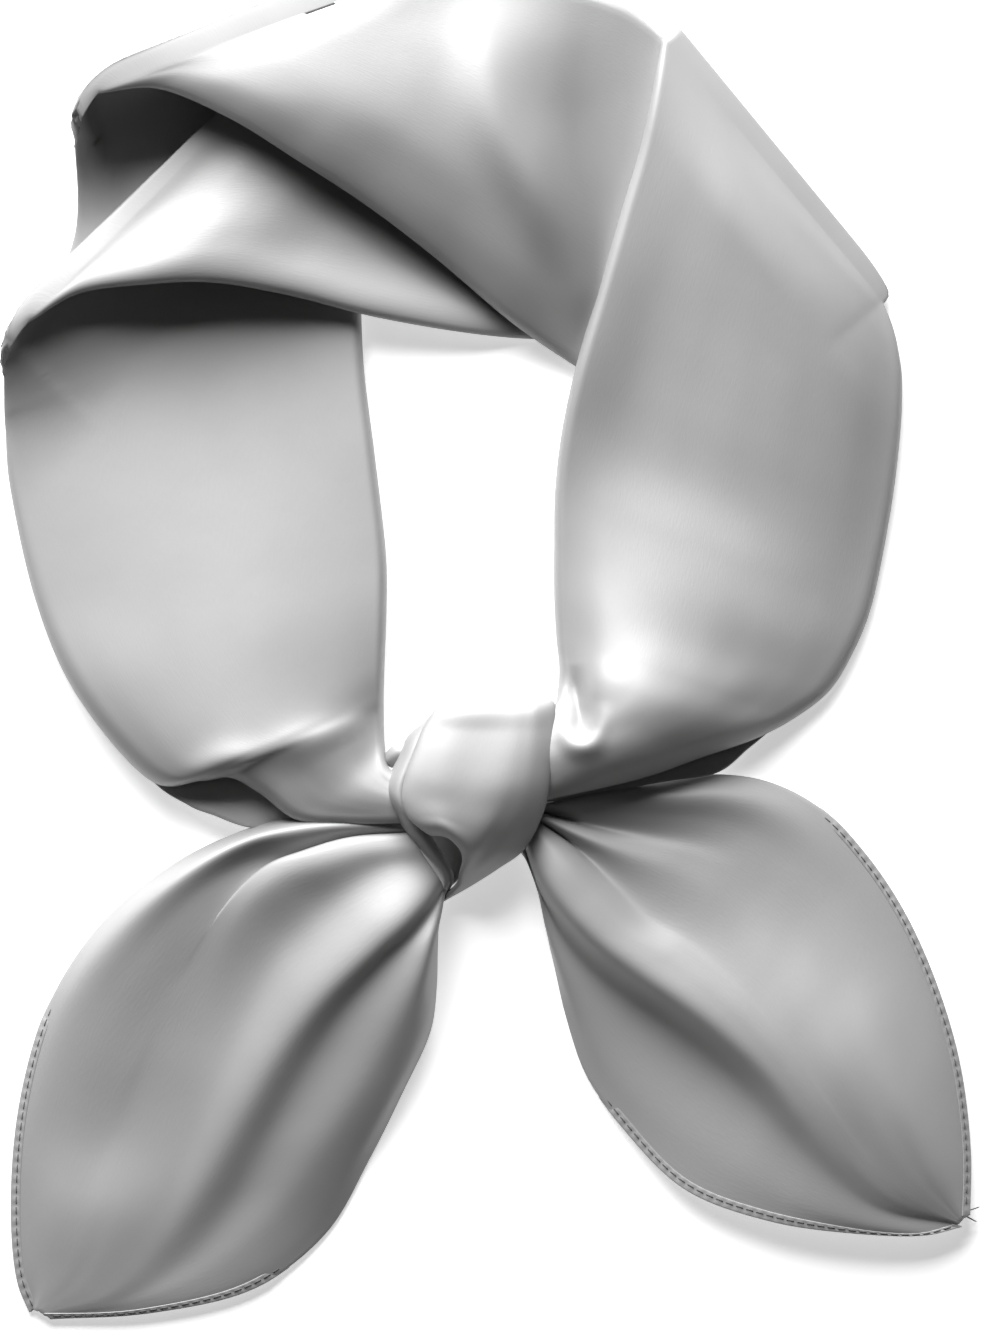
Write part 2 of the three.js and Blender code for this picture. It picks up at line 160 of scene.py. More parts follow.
# How each leaf rolls down at its edge, by row of the tables above. Columns: row, drop, width of the roll
ROLL = {
    ("left", "front"): [[0, 1.0, 8], [2, 2.0, 12], [4, 3.5, 14], [5, 4.0, 16], [6, 5.0, 20], [7, 3.5, 18],
                        [8, 2.0, 14], [9, 1.0, 10], [11, 0.6, 8], [13, 0, 8]],
    ("left", "back"): [[0, 0, 8], [13, 0, 8]],
    ("top", "front"): [[0, 2.0, 24], [1, 3.0, 28], [3, 3.0, 40], [4, 3.0, 30], [5, 2.5, 28], [6, 1.5, 26],
                       [8, 0, 16], [10, 0, 16]],
    ("top", "back"): [[0, 1.0, 24], [1, 2.5, 36], [2, 3.5, 46], [3, 5.0, 70], [4, 6.5, 86], [5, 6.0, 90],
                      [6, 3.5, 70], [8, 0, 20], [10, 0, 10]],
    ("right", "front"): [[0, 0, 14], [3, 0.6, 8], [6, 1.2, 10], [8, 1.6, 12], [10, 2.0, 16], [11, 2.6, 20],
                         [12, 4.0, 26], [13, 5.0, 28], [14, 5.0, 28], [15, 2.0, 16]],
    ("right", "back"): [[0, 0, 8], [15, 0, 8]],
}

# How far each visible leaf swells above a straight line from rim to edge, one row for each row of the
# tables above, in millimetres at 1/6, 2/6, 3/6, 4/6 and 5/6 of the way from the rim to the edge
RELIEF = {
    ("left", "front"): [
        [0.3, 0.6, 0.6, 0.4, 0.2],
        [0.8, 1.4, 1.4, 1.0, 0.4],
        [1.4, 2.4, 2.4, 1.8, 0.8],
        [2.2, 3.6, 3.8, 2.8, 1.4],
        [2.8, 4.8, 5.2, 4.1, 2.1],
        [1.8, 3.9, 5.2, 5.0, 3.0],
        [1.3, 3.0, 4.4, 4.6, 3.1],
        [0.6, 1.6, 2.3, 2.2, 1.6],
        [0.0, 0.5, 0.9, 0.9, 0.6],
        [-1.2, -1.4, -1.2, -0.8, -0.3],
        [-1.5, -2.1, -2.0, -1.5, -0.7],
        [-1.4, -2.0, -2.0, -1.6, -0.8],
        [-0.8, -1.2, -1.2, -0.8, -0.4],
        [0.0, 0.0, 0.0, 0.0, 0.0],
    ],
    ("top", "front"): [
        [-1.8, -3.1, -3.4, -2.1, -0.3],
        [-2.0, -3.6, -4.4, -3.8, -2.0],
        [-2.1, -3.8, -4.6, -3.8, -1.3],
        [-2.0, -3.8, -4.9, -4.6, -2.0],
        [-1.9, -3.6, -5.4, -6.4, -4.2],
        [-1.8, -3.3, -4.8, -5.9, -4.8],
        [-1.3, -2.0, -2.8, -3.3, -3.2],
        [-0.2, -0.2, -0.1, 0.0, 0.0],
        [0.0, 0.0, 0.0, 0.0, 0.0],
        [0.0, 0.0, 0.0, 0.0, 0.0],
        [0.0, 0.0, 0.0, 0.0, 0.0],
    ],
    ("top", "back"): [
        [1.4, 2.3, 2.8, 2.6, 1.4],
        [1.0, 1.7, 2.1, 2.0, 1.2],
        [0.9, 1.7, 2.2, 2.4, 1.8],
        [1.0, 2.2, 3.0, 3.1, 1.8],
        [1.6, 3.2, 4.2, 3.8, 1.6],
        [1.8, 3.6, 4.8, 4.6, 2.4],
        [1.0, 2.4, 3.8, 4.2, 2.8],
        [0.2, 0.8, 1.6, 2.2, 1.8],
        [0.0, 0.0, 0.0, 0.0, 0.0],
        [0.0, 0.0, 0.0, 0.0, 0.0],
        [0.0, 0.0, 0.0, 0.0, 0.0],
    ],
    ("right", "front"): [
        [0.0, 0.0, 0.0, 0.0, 0.0],
        [0.8, 2.0, 2.8, 3.0, 2.2],
        [1.2, 3.0, 4.0, 4.0, 2.9],
        [1.2, 3.2, 4.4, 4.6, 3.4],
        [0.4, 2.2, 3.8, 4.5, 3.6],
        [-0.9, 0.4, 2.4, 3.8, 3.4],
        [-1.7, -0.8, 1.0, 2.4, 2.4],
        [-0.6, 0.1, 1.0, 1.8, 1.6],
        [2.0, 3.4, 3.6, 3.0, 1.6],
        [4.0, 6.2, 6.2, 4.6, 2.4],
        [6.0, 8.5, 8.1, 5.7, 2.7],
        [7.5, 10.9, 10.8, 8.2, 3.6],
        [8.6, 11.7, 11.8, 9.3, 5.0],
        [6.4, 9.7, 10.0, 8.4, 4.7],
        [2.7, 5.3, 6.5, 5.7, 3.3],
        [0.8, 1.6, 2.0, 1.6, 0.8],
    ],
}

# The two turns of the band. Reach is how far the cloth swings out beyond its rows, in millimetres, at
# the rim and at the edge. The corner share says how much of it is left at the very edge. The corner angle,
# in degrees, is how far the swing leans towards the free edge there. Lift is where the fold lies between
# the cloth below, 0, and above, 1. The widths, in squares, say over what distance the cloth below and above
# the fold comes to its own height.
# Columns: reach at rim and edge, corner share, corner angle, lift at rim and edge, width below and above
TURNS = {
    ("left", "front"): [2.0, 7.4, 0.26, 46, 0.62, 0.86, 125, 90],
    ("left", "back"): [7.6, 10.0, 0.14, 47, 0.93, 0.98, 105, 60],
    ("right", "front"): [5.2, 4.4, 0.5, 0, 0.4, 0.5, 14, 90],
    ("right", "back"): [1.2, 1.5, 0.5, 0, 0.4, 0.7, 14, 80],
}

# Over this width, in squares, a turn's reach falls to its corner share and its swing leans over
CORNER_WIDTH = 60

# How much of a turn's upper side is a round roll, the rest being an even slope away from a pressed fold.
# Its underside is all roll.
TURN_ROUNDNESS = 0.25
UNDERSIDE_ROUNDNESS = 1.0

# Folds pressed into the band, by stretch and leaf. Each is a line of points on the plan.
# Columns: x y, height, width to the left of the line's direction, width to its right
BAND_FOLDS = {
    ("right", "front"): [
        # the tucked hollow beside the knot, and the lip round it
        [(577, 664, 0, 9, 8), (579, 690, -2.6, 10, 9), (581, 710, -3.6, 11, 9), (581, 724, -2.6, 10, 8),
         (580, 735, 0, 9, 7)],
        [(557, 702, 0, 8, 8), (562, 723, 0.8, 9, 9), (571, 742, 1.8, 9, 10), (586, 745, 1.8, 9, 12),
         (598, 727, 1.0, 12, 10), (600, 700, 0, 12, 10)],
    ],
    ("left", "front"): [
        # the lip of the fold by the knot
        [(180, 795, 0, 16, 20), (210, 768, 1.0, 16, 26), (240, 762, 1.2, 18, 26), (275, 790, 0.8, 20, 22),
         (310, 812, 0, 20, 20)],
    ],
    ("top", "back"): [
        # a long ridge that runs from the outline down to the inner corner, steep on its right
        [(486, -10, 0, 80, 34), (492, 60, 3.2, 74, 34), (506, 130, 4.6, 62, 32), (545, 205, 5.4, 48, 28),
         (578, 290, 3.0, 38, 22), (590, 350, 0, 36, 20)],
    ],
}

# The left tail, as lines that run from the knot to the tip. Columns: x y, height
LEFT_TAIL = {
    "upper edge": [(409, 822, 5), (350, 814, 5.5), (298, 817, 5), (246, 830, 4), (175, 864, 2.5),
                   (105, 921, 1.5), (52, 1000, 1.2), (22, 1100, 1), (13, 1205, 0.9), (19, 1280, 0.9),
                   (31, 1311, 0.9)],
    "roll crest": [(409, 828, 8), (350, 825, 10), (298, 829, 11.2), (248, 840, 11.8), (182, 876, 10.8),
                   (117, 934, 7.4), (66, 1012, 3.8), (37, 1108, 2.3), (27, 1205, 1.9), (29, 1275, 1.5),
                   (33, 1309, 1)],
    "roll foot": [(409, 832, 6.5), (350, 836, 7.5), (300, 849, 8), (257, 857, 8.6), (200, 893, 9.6),
                  (142, 956, 7.8), (95, 1035, 5.2), (66, 1125, 3.1), (54, 1208, 3.6), (48, 1270, 2.6),
                  (36, 1309, 1.6)],
    "gap": [(409, 833, 5.5), (350, 843, 5.5), (300, 857, 6), (262, 872, 8.6), (215, 918, 8.8),
            (170, 985, 6.9), (130, 1060, 5.2), (103, 1140, 3.5), (85, 1212, 4.4), (66, 1272, 3.2),
            (38, 1310, 1.7)],
    "lap edge": [(410, 833, 8.5), (350, 837, 10), (305, 850, 11), (267, 865, 9.9), (228, 905, 9.3),
                 (190, 975, 7.2), (155, 1050, 5.5), (125, 1135, 3.9), (105, 1212, 4.8), (80, 1275, 3.4),
                 (40, 1310, 1.8)],
    "lap shoulder": [(416, 843, 9.6), (362, 850, 11.6), (318, 864, 12.6), (277, 880, 11.6), (243, 915, 9.7),
                     (210, 985, 7.2), (176, 1058, 5.8), (145, 1140, 4.4), (122, 1215, 5), (90, 1280, 3.5),
                     (41, 1311, 1.8)],
    "valley": [(425, 858, 9.8), (383, 868, 10.8), (350, 888, 11), (318, 912, 10), (283, 950, 8.4),
               (250, 1010, 7.5), (215, 1080, 6.7), (182, 1155, 5.4), (150, 1225, 4.8), (105, 1287, 3.5),
               (42, 1312, 1.8)],
    "main ridge": [(440, 880, 9.8), (424, 898, 13), (402, 921, 15.2), (371, 949, 15.4), (322, 996, 14),
                   (280, 1052, 11.2), (244, 1115, 8.8), (205, 1185, 6.2), (165, 1243, 4.4), (112, 1293, 3.4),
                   (44, 1313, 1.8)],
    "crease": [(443, 888, 7), (432, 908, 10), (415, 932, 11.4), (390, 957, 11.8), (351, 1003, 10.6),
               (312, 1064, 8.4), (276, 1128, 6.2), (240, 1195, 4), (190, 1255, 3.2), (122, 1299, 3.1),
               (45, 1314.5, 1.7)],
    "second ridge": [(444, 890, 7), (440, 912, 9.6), (432, 938, 12), (422, 972, 12.4), (404, 1010, 12),
                     (374, 1066, 10.2), (334, 1130, 7.8), (286, 1200, 4.6), (222, 1264, 3.2),
                     (135, 1303, 2.9), (48, 1315.5, 1.6)],
    "lower slope": [(445, 891, 5), (440, 914, 6), (436, 942, 7), (431, 980, 7.4), (424, 1022, 7.4),
                    (397, 1083, 6.4), (357, 1150, 4.6), (310, 1220, 2.8), (243, 1277, 2.6), (144, 1308, 2.6),
                    (49, 1316.2, 1.5)],
    "lower edge": [(445.5, 892, 3.5), (439, 915, 3), (437, 945, 2), (436, 985, 1.3), (430, 1030, 0.9),
                   (403, 1090, 0.8), (369, 1158, 0.8), (326, 1232, 0.8), (255, 1286, 1.8), (150, 1311, 2.2),
                   (50, 1317, 1.4)],
}

# The right tail, in the same way
RIGHT_TAIL = {
    "upper edge": [(534, 806, 7), (600, 786, 5), (660, 781, 3.4), (716, 775, 2.4), (770, 783, 1.5),
                   (820, 809, 1), (862, 852, 0.8), (902, 911, 0.8), (935, 985, 0.8), (958, 1065, 1.0),
                   (968, 1150, 2.2), (967, 1215, 4)],
    "top crest": [(534, 807.5, 8), (602, 796, 7.4), (664, 797, 6.6), (722, 797, 5.4), (768, 808, 4),
                  (810, 838, 2.8), (845, 880, 2.2), (881, 937, 2.4), (912, 1006, 3.4), (936, 1080, 4.6),
                  (952, 1155, 5.2), (963, 1216, 4.7)],
    "wedge lip": [(534, 809, 7.5), (600, 811, 6.2), (655, 816, 5.4), (712, 820, 4.6), (752, 835, 4.1),
                  (790, 866, 3.8), (824, 905, 3.8), (858, 960, 4.8), (888, 1025, 6.8), (914, 1094, 8),
                  (938, 1162, 7.4), (961, 1218, 5)],
    "wedge bottom": [(534, 811, 4.5), (598, 826, 4.6), (650, 834, 4.6), (700, 842, 4.4), (738, 858, 4.6),
                     (774, 888, 4.6), (806, 925, 5.0), (838, 980, 6.8), (868, 1040, 9.4), (898, 1105, 10.2),
                     (928, 1168, 8.4), (960, 1219, 5)],
    "first fold edge": [(534, 812, 8.6), (594, 832, 6.6), (640, 845, 5.9), (685, 855, 5.4),
                        (722, 872, 5.3), (756, 904, 5.5), (787, 942, 6.4), (820, 995, 8.8),
                        (851, 1053, 11), (884, 1115, 10.9), (919, 1174, 8.7), (959, 1219.5, 5)],
    "first fold crest": [(534, 815, 9), (588, 840, 8), (630, 858, 7.2), (672, 874, 6.6), (707, 893, 6.4),
                         (740, 925, 6.8), (770, 962, 8.2), (804, 1012, 10.4), (838, 1066, 11.9),
                         (873, 1124, 11.2), (912, 1180, 8.9), (959, 1220, 5)],
    "first fold foot": [(534, 817, 6), (578, 848, 5.4), (612, 880, 6.2), (648, 913, 7.0), (685, 935, 7.8),
                        (720, 962, 9), (752, 993, 10.2), (787, 1040, 11.7), (823, 1090, 12.1),
                        (860, 1140, 10.9), (903, 1190, 8.8), (958, 1221, 5)],
    "big fold edge": [(533, 818, 8), (572, 850, 8), (604, 886, 8.4), (640, 922, 8.5), (680, 946, 9.3),
                      (716, 974, 10.2), (750, 1006, 11.1), (787, 1051, 12), (822, 1100, 12.1),
                      (857, 1151, 10.7), (899, 1195, 8.6), (958, 1221.5, 5)],
    "big fold crest": [(530, 824, 9), (562, 862, 11.2), (591, 898, 11.4), (623, 931, 11.3), (663, 958, 11.4),
                       (702, 987, 11.9), (738, 1019, 12.2), (775, 1061, 12.3), (811, 1109, 11.9),
                       (848, 1158, 10.5), (894, 1199, 8.4), (957, 1222, 4.9)],
    "big fold lip": [(524, 834, 7.5), (547, 884, 11), (570, 914, 12), (600, 944, 12.2), (638, 973, 12.4),
                     (681, 1003, 12.6), (722, 1035, 12.4), (763, 1073, 11.9), (801, 1120, 11.1),
                     (841, 1165, 9.9), (890, 1204, 7.9), (956, 1222.5, 4.7)],
    "hollow": [(522, 839, 4), (540, 892, 4), (558, 926, 4.6), (585, 960, 4.8), (621, 991, 5),
               (663, 1021, 5.2), (703, 1055, 5.6), (744, 1094, 6.6), (785, 1138, 8), (829, 1176, 8.6),
               (883, 1209, 7.4), (955, 1223, 4.6)],
    "low crest": [(520, 842, 4.5), (537, 886, 5), (548, 930, 4.2), (562, 970, 3.8), (582, 1014, 3.4),
                  (608, 1060, 3.2), (644, 1102, 3.6), (700, 1148, 5), (767, 1188, 6.8), (833, 1213, 7.8),
                  (899, 1226, 6.8), (957, 1224, 4.4)],
    "lower edge": [(517, 846, 3), (537, 875, 3), (546, 925, 1.5), (556, 970, 1), (567, 1017, 0.8),
                   (587, 1075, 1), (622, 1124, 2), (684, 1186, 4.2), (766, 1217, 6.0), (850, 1230, 6.8),
                   (925, 1233, 5.8), (960, 1225, 4.2)],
}

# The broad turn of the knot, as lines that run over it from its top to the tip below the eye
KNOT_FACE = {
    "left edge turned under": [(447, 709, 5), (441, 715, 11), (431, 731, 13), (422, 753, 14.8),
                               (414, 777, 16.2), (411, 797, 16.4), (417, 812, 15.4), (427, 822, 13.6),
                               (432, 828, 11), (438, 829, 7)],
    "left edge": [(444, 705.5, 7), (437, 711, 14.4), (426, 727.5, 16.2), (417, 750, 17.8), (408.5, 775, 19),
                  (405, 797, 19.3), (411, 815, 19.3), (423, 826, 19.2), (431, 831.5, 17), (438, 831, 9)],
    "left crest": [(462, 704.5, 9), (456, 709, 16.4), (448, 730, 18.2), (441, 755, 20.1), (436, 780, 21.3),
                   (434, 799, 21.5), (437, 814, 21.9), (443, 825, 21.9), (447, 833, 19.4), (452, 831, 11)],
    "middle": [(485, 703.5, 9), (483, 708, 17), (478, 732, 18.8), (473, 760, 20.5), (469, 784, 21.5),
               (465, 804, 21.7), (461, 822, 21.6), (460, 836, 21), (461, 845, 18.4), (467, 845, 10)],
    "eye corner": [(510, 703, 9), (510, 708, 16.4), (508, 732, 18.8), (505, 760, 20.8), (500, 785, 21.8),
                   (493, 807, 21.5), (482, 830, 20.8), (472, 849, 18.8), (465, 858, 15.6), (470, 861, 9)],
    "tip side": [(523, 702.5, 9), (523, 707.5, 16), (522, 732, 18.4), (519, 760, 20.3), (515, 785, 21.1),
                 (506, 808, 20.6), (493, 832, 19.2), (478, 856, 16), (462, 873, 12), (463, 880, 6.5)],
    "right slope": [(537, 702, 8), (538, 707, 15.2), (537, 732, 17.4), (534, 760, 19), (530, 786, 19.5),
                    (521, 811, 18.8), (507, 835, 17), (490, 858, 14), (467, 878, 9.5), (450, 892, 5)],
    "right edge": [(551, 701, 6), (552.5, 706, 12), (553, 730, 13.8), (551, 758, 15.2), (547, 785, 15.6),
                   (541, 811, 13.8), (522, 848, 9.6), (499, 865, 7.2), (471, 883, 4.8), (443, 899, 3)],
    "right edge turned under": [(547, 704, 5), (548, 711, 8.6), (548.5, 732, 10.4), (546.5, 758, 11.6),
                                (542.5, 784, 11.6), (536, 808, 9.6), (518, 843, 5.8), (496, 861, 3.8),
                                (470, 879, 2.6), (446, 895, 2)],
}

# The turn below it, which shows as a strip down the left side of the knot
KNOT_STRIP = {
    "outer edge": [(443, 706, 4), (428, 721, 6), (411, 736, 7), (400, 758, 7.5), (389.5, 785, 8),
                   (391, 797, 8.5), (402, 820, 9), (418, 843, 8.5), (431, 862, 7), (443, 882, 5),
                   (441, 893, 3)],
    "outer slope": [(446, 708, 8.4), (432, 722, 11.4), (415, 738, 12.4), (404, 760, 13.2), (394, 785, 13.8),
                    (395, 798, 14), (406, 820, 13.4), (422, 841, 12), (436, 861, 10), (446, 880, 7.4),
                    (442, 893.5, 4)],
    "crest": [(450, 710, 9.6), (437, 725, 12.6), (421, 742, 14), (410, 763, 15), (401, 786, 16),
              (401, 800, 16.2), (412, 820, 15.2), (427, 839, 13.2), (442, 861, 10.6), (449, 879, 7.4),
              (443, 894, 4)],
    "inner edge": [(456, 716, 7), (446, 730, 9.6), (431, 747, 10.8), (421, 768, 12), (413, 788, 12.8),
                   (412, 802, 12.6), (421, 822, 11.4), (434, 843, 9.4), (447, 863, 7.2), (452, 878, 5),
                   (443.5, 895, 3)],
}

# A corner of the inner turn that shows between the band and the knot
KNOT_CORNER = {
    "outer edge": [(384, 758, 6.5), (390, 750, 7.5), (397, 745.5, 8), (405, 744, 8)],
    "middle": [(386, 762, 7), (393, 757, 8.4), (400, 753, 9), (408, 752, 9)],
    "inner edge": [(392, 766, 6.5), (398, 764, 7.5), (404, 762, 8), (411, 762, 8)],
}

# What fills the knot, seen only in the dark of its eye. Columns: share of the outline, height
KNOT_HEART_MIDDLE = (482, 775)
KNOT_HEART_OUTLINE = [(462, 715), (535, 712), (540, 750), (534, 790), (515, 830), (484, 860), (463, 876),
                      (449, 886), (437, 862), (420, 830), (402, 822), (398, 804), (410, 770), (430, 735)]
KNOT_HEART_RINGS = [(0.9, 0.5), (1.0, 1.5), (0.98, 2.6), (0.9, 3.4), (0.7, 4.2), (0.3, 4.6)]


def through(points, steps):
    """Smooth points through given ones, at a pace that follows the distance between them."""
    points = np.asarray(points, float)
    before = 2 * points[:1] - points[1:2]
    after = 2 * points[-1:] - points[-2:-1]
    every = np.concatenate([before, points, after])
    result = []
    for k in range(len(points) - 1):
        p0, p1, p2, p3 = every[k:k + 4]
        t1 = np.sqrt(np.linalg.norm(p1 - p0, axis=-1, keepdims=True)) + SHORTEST_STEP
        t2 = t1 + np.sqrt(np.linalg.norm(p2 - p1, axis=-1, keepdims=True)) + SHORTEST_STEP
        t3 = t2 + np.sqrt(np.linalg.norm(p3 - p2, axis=-1, keepdims=True)) + SHORTEST_STEP
        for s in range(steps):
            t = t1 + (t2 - t1) * s / steps
            a1 = ((t1 - t) * p0 + t * p1) / t1
            a2 = ((t2 - t) * p1 + (t - t1) * p2) / (t2 - t1)
            a3 = ((t3 - t) * p2 + (t - t2) * p3) / (t3 - t2)
            b1 = ((t2 - t) * a1 + t * a2) / t2
            b2 = ((t3 - t) * a2 + (t - t1) * a3) / (t3 - t1)
            result.append(((t2 - t) * b1 + (t - t1) * b2) / (t2 - t1))
    result.append(points[-1])
    return np.array(result)


def smooth_at(rows, numbers):
    """Values on a smooth line through the rows of a table, at row numbers that need not be whole."""
    rows = np.asarray(rows, float)
    last = len(rows) - 1
    k = np.minimum(np.floor(numbers).astype(int), last - 1)
    f = (numbers - k).reshape([-1] + [1] * (rows.ndim - 1))
    here, after = rows[k], rows[k + 1]
    slope_here = (after - rows[np.maximum(k - 1, 0)]) / 2
    slope_after = (rows[np.minimum(k + 2, last)] - here) / 2
    return (
        (2 * f**3 - 3 * f**2 + 1) * here + (f**3 - 2 * f**2 + f) * slope_here
        + (3 * f**2 - 2 * f**3) * after + (f**3 - f**2) * slope_after
    )


def row_numbers(steps):
    """The row numbers to draw, from the number of steps in each interval of a table."""
    numbers = np.concatenate([k + np.arange(count) / count for k, count in enumerate(steps)])
    return np.append(numbers, len(steps))


def eased_at(keys, numbers):
    """Values that ease from key to key, the first column being the key's row number."""
    keys = np.array(keys, float)
    between = np.interp(numbers, keys[:, 0], np.arange(len(keys)))
    part = between - np.floor(between)
    between = np.floor(between) + part * part * (3 - 2 * part)
    columns = [np.interp(between, np.arange(len(keys)), column) for column in keys.T[1:]]
    return np.stack(columns, -1)


def on_plan(x, y, z):
    """Millimetres in the frame, from squares on the plan and a height in millimetres."""
    x, y, z = np.broadcast_arrays(x, y, z)
    return np.stack([(x - GRID_MIDDLE[0]) * SQUARE, (GRID_MIDDLE[1] - y) * SQUARE, z], -1).astype(float)


def eased(grid):
    """A grid of points with its kinks eased along each side and across the whole."""
    grid = grid.copy()
    for _ in range(EASING_ROUNDS):
        grid[1:-1] += 0.25 * (grid[:-2] + grid[2:] - 2 * grid[1:-1])
        grid[:, 1:-1] += 0.25 * (grid[:, :-2] + grid[:, 2:] - 2 * grid[:, 1:-1])
    return grid


def grid_normals(grid):
    """The way out of the cloth at every point of a grid."""
    along = np.gradient(grid, axis=0)
    across = np.gradient(grid, axis=1)
    normals = np.cross(along, across)
    length = np.linalg.norm(normals, axis=-1, keepdims=True)
    return normals / np.maximum(length, TINY)


def mesh_piece(name, vertices, faces, weave=None):
    """A piece from points in millimetres, with its place in its mesh and its weave laid flat on it."""
    mesh = bpy.data.meshes.new(name)
    mesh.from_pydata((np.asarray(vertices) * MM).tolist(), [], [tuple(f) for f in faces])
    if weave is not None:
        layer = mesh.uv_layers.new(name="weave")
        corner = np.zeros(len(mesh.loops), dtype=np.int32)
        mesh.loops.foreach_get("vertex_index", corner)
        layer.data.foreach_set("uv", np.asarray(weave)[corner].astype(np.float32).ravel())
    mesh.shade_smooth()
    mesh.validate()
    piece = bpy.data.objects.new(name, mesh)
    bpy.context.scene.collection.objects.link(piece)
    return piece


def cloth_piece(name, grid, thickness):
    """A grid of points, in millimetres, made into a closed cloth with rounded edges, all above the floor."""
    rows, columns = grid.shape[:2]
    normals = grid_normals(grid)
    outward = np.zeros_like(grid)
    outward[0] += grid[0] - grid[1]
    outward[-1] += grid[-1] - grid[-2]
    outward[:, 0] += grid[:, 0] - grid[:, 1]
    outward[:, -1] += grid[:, -1] - grid[:, -2]
    length = np.linalg.norm(outward, axis=-1, keepdims=True)
    outward = np.where(length > TINY, outward / np.maximum(length, TINY), 0)
    top = grid + normals * thickness / 2
    low = grid - normals * thickness / 2
    border = (
        [(0, j) for j in range(columns)]
        + [(i, columns - 1) for i in range(1, rows)]
        + [(rows - 1, j) for j in range(columns - 2, -1, -1)]
        + [(i, 0) for i in range(rows - 2, 0, -1)]
    )
    border = np.array(border)
    edge_angles = np.radians([45, 0, -45])
    rings = [
        grid[border[:, 0], border[:, 1]]
        + normals[border[:, 0], border[:, 1]] * (math.sin(angle) * thickness / 2)
        + outward[border[:, 0], border[:, 1]] * (math.cos(angle) * thickness / 2)
        for angle in edge_angles
    ]
    vertices = np.concatenate([top.reshape(-1, 3), low.reshape(-1, 3)] + rings)
    vertices[:, 2] = np.maximum(vertices[:, 2], 0)
    step_u = np.linalg.norm(np.diff(grid, axis=0), axis=-1).mean(1)
    step_v = np.linalg.norm(np.diff(grid, axis=1), axis=-1).mean(0)
    u = np.concatenate([[0], np.cumsum(step_u)])
    v = np.concatenate([[0], np.cumsum(step_v)])
    flat = np.stack(np.meshgrid(u, v, indexing="ij"), -1)
    weave = np.concatenate([flat.reshape(-1, 2)] * 2 + [flat[border[:, 0], border[:, 1]]] * len(rings))
    index = np.arange(rows * columns).reshape(rows, columns)
    count = rows * columns
    a, b, c, d = index[:-1, :-1], index[1:, :-1], index[1:, 1:], index[:-1, 1:]
    faces = [np.stack([a, b, c, d], -1).reshape(-1, 4)]
    faces.append(np.stack([a, d, c, b], -1).reshape(-1, 4) + count)
    around = index[border[:, 0], border[:, 1]]
    loops = [around]
    loops += [2 * count + k * len(border) + np.arange(len(border)) for k in range(len(rings))]
    loops.append(around + count)
    for upper, lower in zip(loops[:-1], loops[1:]):
        faces.append(np.stack([upper, np.roll(upper, -1), np.roll(lower, -1), lower], -1))
    return mesh_piece(name, vertices, np.concatenate(faces), weave)


def spline_sheet(lines, steps):
    """A grid through named lines: rows run along the lines, columns go from the first line to the last."""
    points = np.array([list(line) for line in lines.values()], float)
    points = on_plan(points[..., 0], points[..., 1], points[..., 2])
    along = through(points.transpose(1, 0, 2), steps[0])
    across = through(along.transpose(1, 0, 2), steps[1])
    return eased(across.transpose(1, 0, 2))


def fold_heights(x, y, line):
    """The height that a fold adds at points of the plan."""
    line = np.array(line, float)
    path = through(line[:, :2], FOLD_STEPS)
    rest = smooth_at(line[:, 2:], row_numbers([FOLD_STEPS] * (len(line) - 1)))
    best = np.full(x.shape, np.inf)
    height = np.zeros(x.shape)
    for k in range(len(path) - 1):
        start, span = path[k], path[k + 1] - path[k]
        share = np.clip(((x - start[0]) * span[0] + (y - start[1]) * span[1]) / (span @ span), 0, 1)
        dx = x - start[0] - share * span[0]
        dy = y - start[1] - share * span[1]
        distance = np.hypot(dx, dy)
        leftward = span[0] * dy - span[1] * dx < 0
        value = rest[k] + (rest[k + 1] - rest[k]) * share[..., None]
        width = np.where(leftward, value[..., 1], value[..., 2])
        here = value[..., 0] * np.exp(-(distance / width) ** 2)
        nearer = distance < best
        best = np.where(nearer, distance, best)
        height = np.where(nearer, here, height)
    return height


def quarter(distance, width):
    """A quarter of an ellipse: 0 at no distance, where it is steepest, and 1 from the width on."""
    return np.sqrt(1 - (1 - np.clip(distance / width, 0, 1)) ** 2)


def leaf(rim, free, rolled, relief, steps):
    """One leaf as points from the rim to its free edge, for every row."""
    even = np.linspace(0, 1, steps + 1)
    v = (1 - END_CLOSENESS) * even + END_CLOSENESS * (1 - np.cos(np.pi * even)) / 2
    points = rim[:, None] + (free - rim)[:, None] * v[None, :, None]
    length = np.linalg.norm(free - rim, axis=1)[:, None] / SQUARE
    drop, drop_width = rolled[:, :1], rolled[:, 1:]
    points[..., 2] -= drop * (1 - quarter(length * (1 - v), drop_width))
    if relief is not None:
        level = np.zeros((len(relief), 1))
        across = np.concatenate([level, relief, level], axis=1).T
        points[..., 2] += smooth_at(across, v * (len(across) - 1)).T
    return points


